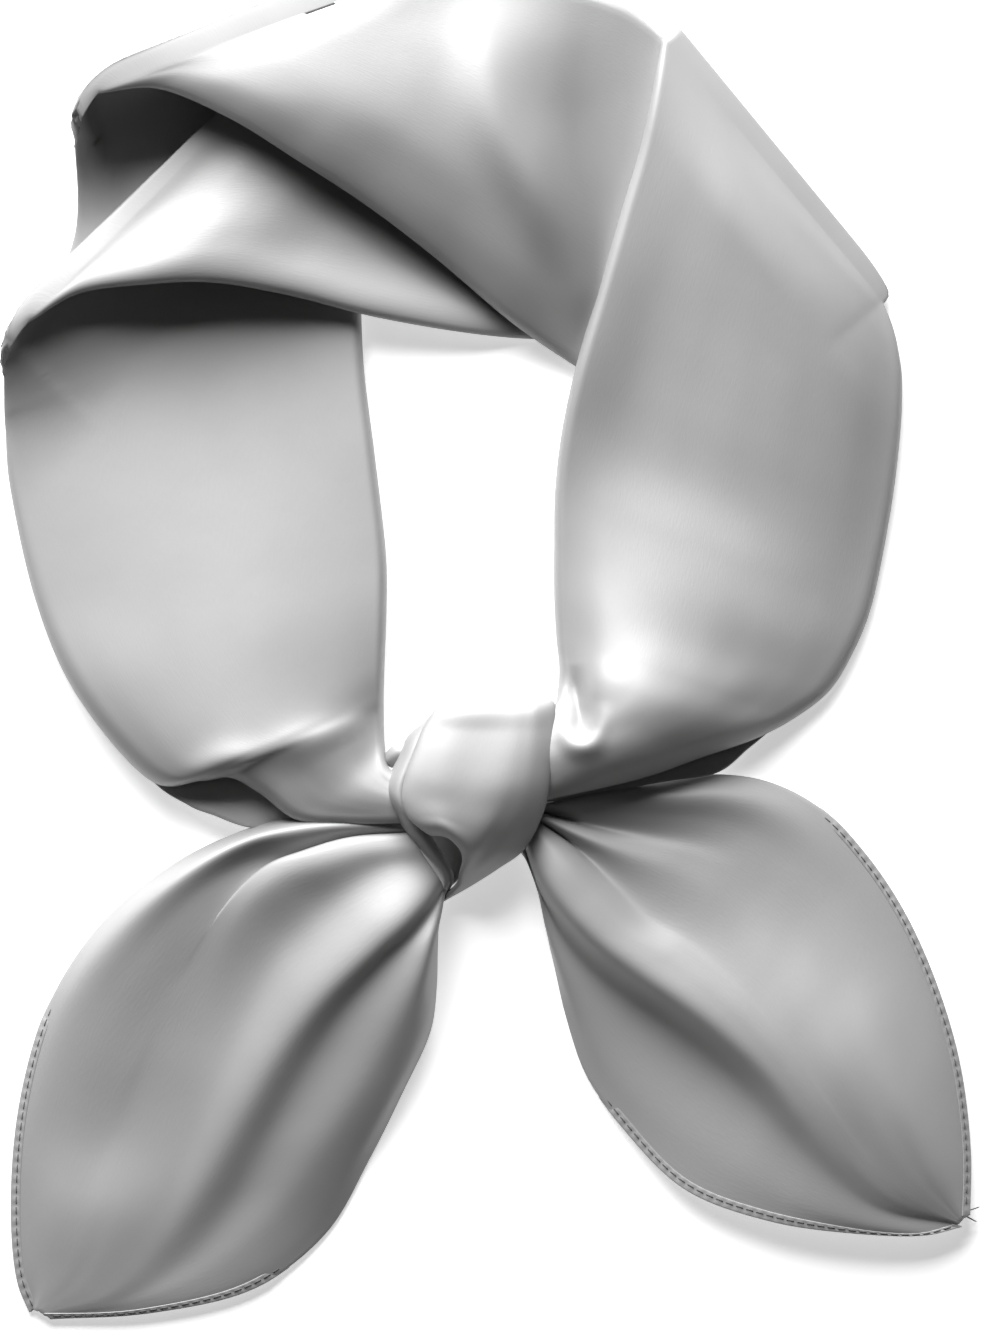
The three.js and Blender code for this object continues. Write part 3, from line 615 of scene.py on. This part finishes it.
def band_stretch(table, steps, front_side, stretch):
    """Both leaves of one stretch. front_side is 1 where the front leaf is on top, -1 where it is below."""
    numbers = row_numbers(steps)
    rows = smooth_at(table, numbers)
    rim = on_plan(rows[:, 0], rows[:, 1], rows[:, 2])
    front = on_plan(rows[:, 4], rows[:, 5], rows[:, 6])
    back = on_plan(rows[:, 7], rows[:, 8], rows[:, 9])
    across = (front + back) / 2 - rim
    across[:, 2] = 0
    across /= np.linalg.norm(across, axis=1, keepdims=True)
    rim += across * (np.minimum(rows[:, 3:4] / 2, RIM_REACH) + LEAF / 2)
    half_gap = np.zeros_like(rim)
    half_gap[:, 2] = front_side * rows[:, 3] / 2
    leaves = {}
    for side, start, free, columns in (("front", rim + half_gap, front, FRONT_STEPS),
                                       ("back", rim - half_gap, back, BACK_STEPS)):
        rolled = eased_at(ROLL[stretch, side], numbers)
        relief = RELIEF.get((stretch, side))
        if relief is not None:
            relief = smooth_at(relief, numbers)
        points = leaf(start, free, rolled, relief, columns)
        plan_x = points[..., 0] / SQUARE + GRID_MIDDLE[0]
        plan_y = GRID_MIDDLE[1] - points[..., 1] / SQUARE
        for line in BAND_FOLDS.get((stretch, side), []):
            points[..., 2] += fold_heights(plan_x, plan_y, line)
        leaves[side] = points
    return leaves


def turned_over(lower, upper, travel, turn):
    """Joins two stretches of one leaf by a soft fold, the first one running under the second."""
    reach_rim, reach_edge, corner, corner_angle, lift_rim, lift_edge, width_low, width_up = turn
    last, first = lower[-1], upper[0]
    ruling = last[-1] + first[-1] - last[0] - first[0]
    ruling[2] = 0
    ruling /= np.linalg.norm(ruling)
    outward = np.array([ruling[1], -ruling[0], 0.0])
    outward *= np.sign(outward @ travel)
    share = (last - last[0]) @ (last[-1] - last[0]) / ((last[-1] - last[0]) @ (last[-1] - last[0]))
    to_edge = (1 - share) * np.linalg.norm(last[-1] - last[0]) / SQUARE
    in_corner = 1 - quarter(to_edge, CORNER_WIDTH)
    reach = (reach_rim + (reach_edge - reach_rim) * share) * (1 - (1 - corner) * in_corner)
    lean = math.radians(corner_angle) * in_corner[:, None]
    swing_way = outward * np.cos(lean) + ruling * np.sin(lean)
    angles = np.pi * np.arange(1, TURN_STEPS) / TURN_STEPS
    blend = (1 - np.cos(angles))[:, None, None] / 2
    swing = last + (first - last) * blend
    swing += (reach[None, :] * np.sin(angles)[:, None])[..., None] * swing_way
    # the fold's line, from the rim to where its corner would be
    start = (last[0] + first[0]) / 2 + reach_rim * outward
    end = (last[-1] + first[-1]) / 2 + reach_edge * outward
    along = (end - start)[:2] / np.linalg.norm((end - start)[:2])
    inward = np.array([-along[1], along[0]])
    inward *= -np.sign(inward @ outward[:2])
    span = np.linalg.norm((end - start)[:2])
    corner_inset = reach_edge * (1 - corner) / SQUARE

    def settled(points, heights, width, roundness):
        offset = points[..., :2] - start[:2]
        place = np.clip(offset @ along / span, 0, 1)
        from_corner = span * (1 - place) / SQUARE
        distance = offset @ inward / SQUARE - corner_inset * (1 - quarter(from_corner, CORNER_WIDTH))
        low = np.interp(place, share, last[:, 2])
        high = np.interp(place, share, first[:, 2])
        middle = low + (high - low) * (lift_rim + (lift_edge - lift_rim) * place)
        rolled = quarter(distance, width)
        pressed = np.sin(np.clip(distance / width, 0, 1) * np.pi / 2)
        result = points.copy()
        result[..., 2] = middle + (heights - middle) * (pressed + (rolled - pressed) * roundness)
        return result

    half = (TURN_STEPS - 1) // 2
    under = np.broadcast_to(last[:, 2], swing[..., 2].shape)[:half]
    over = np.broadcast_to(first[:, 2], swing[..., 2].shape)[half:]
    return np.concatenate([
        settled(lower, lower[..., 2], width_low, UNDERSIDE_ROUNDNESS),
        settled(swing[:half], under, width_low, UNDERSIDE_ROUNDNESS),
        settled(swing[half:], over, width_up, TURN_ROUNDNESS),
        settled(upper, upper[..., 2], width_up, TURN_ROUNDNESS),
    ])


def hairpins(front, back):
    """The closed line of every row: back leaf from its free edge, round the rim, front leaf."""
    middle = (front[:, 0] + back[:, 0]) / 2
    half = (front[:, 0] - back[:, 0]) / 2
    bulge = front[:, 0] - front[:, 1]
    bulge /= np.linalg.norm(bulge, axis=1, keepdims=True)
    other = back[:, 0] - back[:, 1]
    bulge += other / np.linalg.norm(other, axis=1, keepdims=True)
    square = (half * half).sum(1, keepdims=True)
    bulge -= half * (bulge * half).sum(1, keepdims=True) / square
    bulge *= np.minimum(np.sqrt(square), RIM_REACH) / np.linalg.norm(bulge, axis=1, keepdims=True)
    angles = np.pi * np.arange(1, RIM_STEPS) / RIM_STEPS
    rim = (
        middle[:, None]
        - half[:, None] * np.cos(angles)[None, :, None]
        + bulge[:, None] * np.sin(angles)[None, :, None]
    )
    return np.concatenate([back[:, ::-1], rim, front], axis=1)


def neck_band():
    """The band from the knot up the left side, over both turns and down the right side, as one cloth."""
    left_steps = [NEAR_KNOT_STEPS // 2] * 5 + [LEFT_STEPS] * (len(LEFT_SIDE) - 6)
    right_steps = [RIGHT_STEPS] * (len(RIGHT_SIDE) - 5) + [NEAR_KNOT_STEPS] * 4
    top_steps = [TOP_STEPS] * (len(TOP) - 1)
    left = band_stretch(LEFT_SIDE, left_steps, 1, "left")
    top = band_stretch(TOP, top_steps, -1, "top")
    right = band_stretch(RIGHT_SIDE, right_steps, 1, "right")
    up_and_left = np.array([-1.0, 1.0, 0.0])
    up_and_right = np.array([1.0, 1.0, 0.0])
    sides = {}
    for side in ("front", "back"):
        first = turned_over(left[side], top[side], up_and_left, TURNS["left", side])
        sides[side] = turned_over(first, right[side], up_and_right, TURNS["right", side])
    return cloth_piece("neck_band_folded", hairpins(sides["front"], sides["back"]), LEAF)


def along_edge(grid, first_step, last_step, at_start):
    """Even steps along one side of a tail: the edge, the way inward over the cloth and the way out of it."""
    column, inner = (0, 3) if at_start else (-1, -4)
    rows = slice(first_step, last_step + 1)
    edge = grid[rows, column]
    inward = grid[rows, inner] - edge
    inward /= np.linalg.norm(inward, axis=1, keepdims=True)
    run = np.concatenate([[0], np.cumsum(np.linalg.norm(np.diff(edge, axis=0), axis=1))])
    way = np.gradient(edge, axis=0)
    out = np.cross(way, inward)
    out *= np.sign(out[:, 2:]) / np.linalg.norm(out, axis=1, keepdims=True)
    even = np.arange(0, run[-1], HEM_STEP)
    return even, [np.stack([np.interp(even, run, part[:, k]) for k in range(3)], -1)
                  for part in (edge, inward, out)]


def still_sunk(run):
    """How far a hem is still sunk in the cloth where it begins: 1 at its start, 0 once it lies on top."""
    part = np.clip(run / HEM_RISE, 0, 1)
    return 1 - part * part * (3 - 2 * part)


def hem(name, grid, first_step, last_step, at_start):
    """A turned hem laid over one side of a tail, drawn in a little at every stitch."""
    run, (edge, inward, out) = along_edge(grid, first_step, last_step, at_start)
    pull = PUCKER * np.cos(2 * np.pi * run / STITCH_PITCH)[:, None]
    sunk = HEM_SUNK * HEM * still_sunk(run)[:, None]
    lines = []
    for part in np.linspace(0, 1, HEM_LINES):
        raised = TAIL / 2 + HEM * (HEM_RAISED - HEM_SLANT * part)
        across = part * HEM_WIDTH - HEM_OVERHANG
        lines.append(edge + inward * across + out * (raised + pull * math.sin(math.pi * part) - sunk))
    return cloth_piece(name, np.stack(lines, 1), HEM)


def stitches(name, runs, loose_ends):
    """Every dash of thread of a hem, and its loose ends, as small rounded rods in one mesh."""
    rods = []
    for grid, first_step, last_step, at_start in runs:
        run, (edge, inward, out) = along_edge(grid, first_step, last_step, at_start)
        raised = TAIL / 2 + HEM * (THREAD_RAISED - still_sunk(run))[:, None]
        line = edge + inward * (STITCH_IN - HEM_OVERHANG) + out * raised
        for middle in np.arange(STITCH_PITCH, run[-1] - STITCH_PITCH / 2, STITCH_PITCH):
            ends = [middle - STITCH_LENGTH / 2, middle + STITCH_LENGTH / 2]
            rods.append([np.array([np.interp(end, run, line[:, k]) for k in range(3)]) for end in ends])
    rods += [[on_plan(*end) for end in rod] for rod in loose_ends]
    around = np.radians(np.arange(THREAD_SIDES) * 360 / THREAD_SIDES)
    vertices, faces = [], []
    for start, end in rods:
        length = end - start
        side = np.cross(length, [0, 0, 1])
        side /= np.linalg.norm(side)
        up = np.cross(side, length / np.linalg.norm(length))
        first = len(vertices)
        for share, thick in DASH_SHAPE:
            for angle in around:
                ray = side * math.cos(angle) + up * math.sin(angle)
                vertices.append(start + length * share + ray * thick * THREAD / 2)
        for k in range(len(DASH_SHAPE) - 1):
            ring = first + k * THREAD_SIDES
            for j in range(THREAD_SIDES):
                a, b = ring + j, ring + (j + 1) % THREAD_SIDES
                faces.append((a, b, b + THREAD_SIDES, a + THREAD_SIDES))
        last = first + (len(DASH_SHAPE) - 1) * THREAD_SIDES
        faces.append(tuple(first + j for j in range(THREAD_SIDES))[::-1])
        faces.append(tuple(last + j for j in range(THREAD_SIDES)))
    return mesh_piece(name, np.array(vertices), faces)


def knot_heart():
    """The cloth inside the knot, as one low mass under its turns."""
    outline = through(np.array(KNOT_HEART_OUTLINE + KNOT_HEART_OUTLINE[:1], float), HEART_STEPS)[:-1]
    middle = np.array(KNOT_HEART_MIDDLE, float)
    rings = []
    for share, height in KNOT_HEART_RINGS:
        ring = middle + (outline - middle) * share
        rings.append(on_plan(ring[:, 0], ring[:, 1], height))
    count = len(outline)
    vertices = np.concatenate(rings + [on_plan(*middle, KNOT_HEART_RINGS[0][1])[None],
                                       on_plan(*middle, KNOT_HEART_RINGS[-1][1])[None]])
    around = np.arange(count)
    faces = []
    for k in range(len(rings) - 1):
        low, high = around + k * count, around + (k + 1) * count
        faces += np.stack([np.roll(low, -1), low, high, np.roll(high, -1)], -1).tolist()
    last = (len(rings) - 1) * count
    bottom = len(rings) * count
    faces += [(int(a), int(b), bottom) for a, b in zip(around, np.roll(around, -1))]
    faces += [(int(b), int(a), bottom + 1) for a, b in zip(around + last, np.roll(around, -1) + last)]
    return mesh_piece("knot_heart", vertices, faces)


def linear(hex_colour):
    """An sRGB hex colour as linear red, green and blue with alpha 1."""
    values = [int(hex_colour[k:k + 2], 16) / 255 for k in (0, 2, 4)]
    return tuple(v / 12.92 if v <= 0.04045 else ((v + 0.055) / 1.055) ** 2.4 for v in values) + (1.0,)


def add_node(tree, kind, settings=None, **links):
    """Adds a node with its settings, and links its inputs by name to other nodes' outputs."""
    node = tree.nodes.new(kind)
    for key, value in (settings or {}).items():
        if key in node.inputs:
            node.inputs[key].default_value = value
        else:
            setattr(node, key, value)
    for key, socket in links.items():
        tree.links.new(socket, node.inputs[key.replace("_", " ")])
    return node


def silver_satin():
    """Polyester charmeuse satin, woven with long warp floats: a soft pearly sheen over a fine grain."""
    # Real threads are about 0.1 mm apart, too fine to show. These floats are 0.4 mm apart and 3 mm long.
    floats_a_mm_along = 0.35
    floats_a_mm_across = 2.6
    # The dye is a touch uneven, in clouds of about 20 mm
    clouds_a_mm = 0.05
    material = bpy.data.materials.new("silver_charmeuse_satin")
    material.use_nodes = True
    tree = material.node_tree
    tree.nodes.clear()
    weave = add_node(tree, "ShaderNodeUVMap", {"uv_map": "weave"})
    # The weave is laid out in millimetres. The band is folded on the bias, so the floats run at 45 degrees.
    bias = add_node(
        tree, "ShaderNodeMapping",
        {"Rotation": (0, 0, math.radians(45)), "Scale": (floats_a_mm_along, floats_a_mm_across, 1)},
        Vector=weave.outputs["UV"],
    )
    floats = add_node(
        tree, "ShaderNodeTexNoise", {"Scale": 1.0, "Detail": 3.0, "Roughness": 0.6},
        Vector=bias.outputs["Vector"],
    )
    bump = add_node(
        tree, "ShaderNodeBump", {"Strength": 0.3, "Distance": 0.0001}, Height=floats.outputs["Fac"],
    )
    shade = add_node(
        tree, "ShaderNodeTexNoise", {"Scale": clouds_a_mm, "Detail": 2.0}, Vector=weave.outputs["UV"],
    )
    tones = add_node(tree, "ShaderNodeMix", {"data_type": "RGBA"}, Factor=shade.outputs["Fac"])
    tones.inputs[6].default_value = linear("A6A6A6")
    tones.inputs[7].default_value = linear("B0B0B0")
    surface = add_node(
        tree, "ShaderNodeBsdfPrincipled",
        {"Roughness": 0.58, "Metallic": 0.35, "Specular IOR Level": 0.5},
        Base_Color=tones.outputs[2], Normal=bump.outputs["Normal"],
    )
    add_node(tree, "ShaderNodeOutputMaterial", Surface=surface.outputs["BSDF"])
    return material


def glowing_table():
    """Opal acrylic of a light table, matt and lit from below: an even white that softens every shadow."""
    material = bpy.data.materials.new("opal_acrylic_light_table")
    material.use_nodes = True
    surface = material.node_tree.nodes["Principled BSDF"]
    surface.inputs["Base Color"].default_value = linear("FFFFFF")
    surface.inputs["Roughness"].default_value = 0.9
    surface.inputs["Emission Color"].default_value = linear("FFFFFF")
    surface.inputs["Emission Strength"].default_value = 0.5
    return material


def stitch_thread_painted_darker():
    """Spun polyester sewing thread, matt and painted darker than the satin: painted shade for the shadow in
    the stitch holes and puckers, so that each stitch reads as a dash.
    """
    material = bpy.data.materials.new("thread_with_painted_stitch_shade")
    material.use_nodes = True
    surface = material.node_tree.nodes["Principled BSDF"]
    # Painted shade: this dark grey stands for the shadow in the stitch holes and puckers, not the thread's
    # own colour
    surface.inputs["Base Color"].default_value = linear("626262")
    surface.inputs["Roughness"].default_value = 0.8
    return material


def dress(piece, material, *nodes):
    """Gives a piece its material and its body, and hides the model's parts that it stands for."""
    piece.data.materials.append(material)
    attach(piece, "root")
    if nodes:
        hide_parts(*nodes)


# The scarf
satin = silver_satin()

band = neck_band()
dress(band, satin, "neck_band")

left_grid = spline_sheet(LEFT_TAIL, TAIL_STEPS)
tail_left = cloth_piece("tail_left_fanned", left_grid, TAIL)
dress(tail_left, satin, "tail_left")

right_grid = spline_sheet(RIGHT_TAIL, TAIL_STEPS)
tail_right = cloth_piece("tail_right_fanned", right_grid, TAIL)
dress(tail_right, satin, "tail_right")

# The hems are made where the photograph shows them.
# Columns: the tail's grid, first step and last step on it, and whether on the side of its first line
LEFT_HEMS = {
    "hem_left_outer": (left_grid, 84, 140, True),
    "hem_left_lower": (left_grid, 106, 140, False),
}
RIGHT_HEMS = {
    "hem_right_outer": (right_grid, 70, 154, True),
    "hem_right_lower": (right_grid, 76, 154, False),
}
# The thread's two loose ends at the right tail's tip. Columns: x y, height
LOOSE_ENDS = [
    [(963, 1211, 4.4), (979, 1206, 3.0)],
    [(963, 1214, 4.4), (976, 1221, 2.6)],
]
thread = stitch_thread_painted_darker()
for tail, side, hems, loose in (
    (tail_left, "left", LEFT_HEMS, []),
    (tail_right, "right", RIGHT_HEMS, LOOSE_ENDS),
):
    on_tail = [hem(hem_name, *place) for hem_name, place in hems.items()]
    for strip in on_tail:
        dress(strip, satin)
    sewn = stitches("stitches_" + side, hems.values(), loose)
    dress(sewn, thread)

knot_face = cloth_piece("knot_face_turn", spline_sheet(KNOT_FACE, KNOT_FACE_STEPS), KNOT_TURN)
dress(knot_face, satin, "knot")

knot_strip = cloth_piece("knot_under_turn", spline_sheet(KNOT_STRIP, KNOT_STRIP_STEPS), KNOT_TURN)
dress(knot_strip, satin)

knot_corner = cloth_piece("knot_corner", spline_sheet(KNOT_CORNER, KNOT_CORNER_STEPS), KNOT_CORNER_CLOTH)
dress(knot_corner, satin)

heart = knot_heart()
dress(heart, satin)

# The floor, the lights and the camera
FLOOR_SIDE = 6.0
floor_mesh = bpy.data.meshes.new("floor")
half_floor = FLOOR_SIDE / 2
floor_corners = [
    (-half_floor, -half_floor, 0),
    (half_floor, -half_floor, 0),
    (half_floor, half_floor, 0),
    (-half_floor, half_floor, 0),
]
floor_mesh.from_pydata(floor_corners, [], [(0, 1, 2, 3)])
floor = bpy.data.objects.new("floor", floor_mesh)
floor.data.materials.append(glowing_table())
bpy.context.scene.collection.objects.link(floor)


# One softbox, low beyond the top of the loop and a little to its left, aimed at the middle of the scarf
SOFTBOX_PLACE = (-0.33, 1.275, 0.66)
SOFTBOX_SIDE = 1.2
SOFTBOX_WATTS = 68.0
light = bpy.data.lights.new("key_softbox", "AREA")
light.shape = "SQUARE"
light.size = SOFTBOX_SIDE
light.energy = SOFTBOX_WATTS
softbox = bpy.data.objects.new("key_softbox", light)
softbox.location = SOFTBOX_PLACE
softbox.rotation_mode = "QUATERNION"
softbox.rotation_quaternion = (-Vector(SOFTBOX_PLACE)).to_track_quat("-Z", "Y")
bpy.context.scene.collection.objects.link(softbox)

# The studio's own faint light
ROOM_LIGHT = 0.04
world = bpy.data.worlds.new("studio")
bpy.context.scene.world = world
world.use_nodes = True
world.node_tree.nodes["Background"].inputs["Color"].default_value = linear("FFFFFF")
world.node_tree.nodes["Background"].inputs["Strength"].default_value = ROOM_LIGHT

# The camera looks straight down, so far off that the plan's squares keep their size
CAMERA_HEIGHT = 2.0
SENSOR = 36.0
camera_data = bpy.data.cameras.new("camera")
camera = bpy.data.objects.new("camera", camera_data)
bpy.context.scene.collection.objects.link(camera)
picture_middle = on_plan(PICTURE_SQUARES[0] / 2, PICTURE_SQUARES[1] / 2, 0.0) * MM
camera.location = (picture_middle[0], picture_middle[1], CAMERA_HEIGHT)
camera_data.sensor_width = SENSOR
camera_data.lens = SENSOR * CAMERA_HEIGHT / (PICTURE_SQUARES[1] * SQUARE * MM)
bpy.context.scene.camera = camera
bpy.context.scene.view_settings.view_transform = "Standard"
